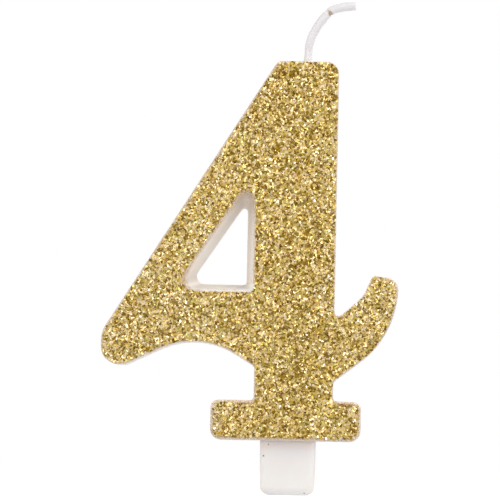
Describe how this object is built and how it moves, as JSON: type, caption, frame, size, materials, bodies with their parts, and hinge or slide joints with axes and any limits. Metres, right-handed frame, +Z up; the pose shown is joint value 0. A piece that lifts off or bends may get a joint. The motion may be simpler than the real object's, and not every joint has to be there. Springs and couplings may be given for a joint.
{
  "type": "number birthday candle",
  "caption": "Cast wax digit 4 with a glitter front, a triangular counter, a bent waxed wick and a flat peg that pushes into a cake.",
  "frame": {"origin": "centre of the peg's flat bottom face, the candle's lowest point", "axes": "+Z up, along the digit's height; +Y from the glitter front to the plain back; +X to the digit's right as it is read from the front"},
  "size_m": [0.0546, 0.011, 0.0914],
  "materials": {
    "wax": "cast white paraffin wax, satin and slightly translucent",
    "peg": "smooth white, satin",
    "glue": "dried clear glue tinted by gold dust",
    "glitter": "gold metallised hexagonal glitter flakes lying at mixed tilts",
    "wick": "braided white cotton primed with wax"
  },
  "bodies": {
    "candle": {"wax_body": "wax", "cake_peg": "peg", "glue_film": "glue", "glitter_layer": "glitter", "wick_core": "wick"},
    "neck": {"wick_neck": "wick"},
    "tip": {"wick_tip": "wick"}
  },
  "joints": [
    {"name": "wick_exit_bend", "type": "hinge", "parent": "candle", "child": "neck", "pos_m": [0.00235, 0, 0.0817], "axis": [0, -1, 0], "range_deg": [-30, 40]},
    {"name": "wick_kink_bend", "type": "hinge", "parent": "neck", "child": "tip", "pos_m": [0.00605, 0, 0.0895], "axis": [0, -1, 0], "range_deg": [-50, 60]}
  ]
}
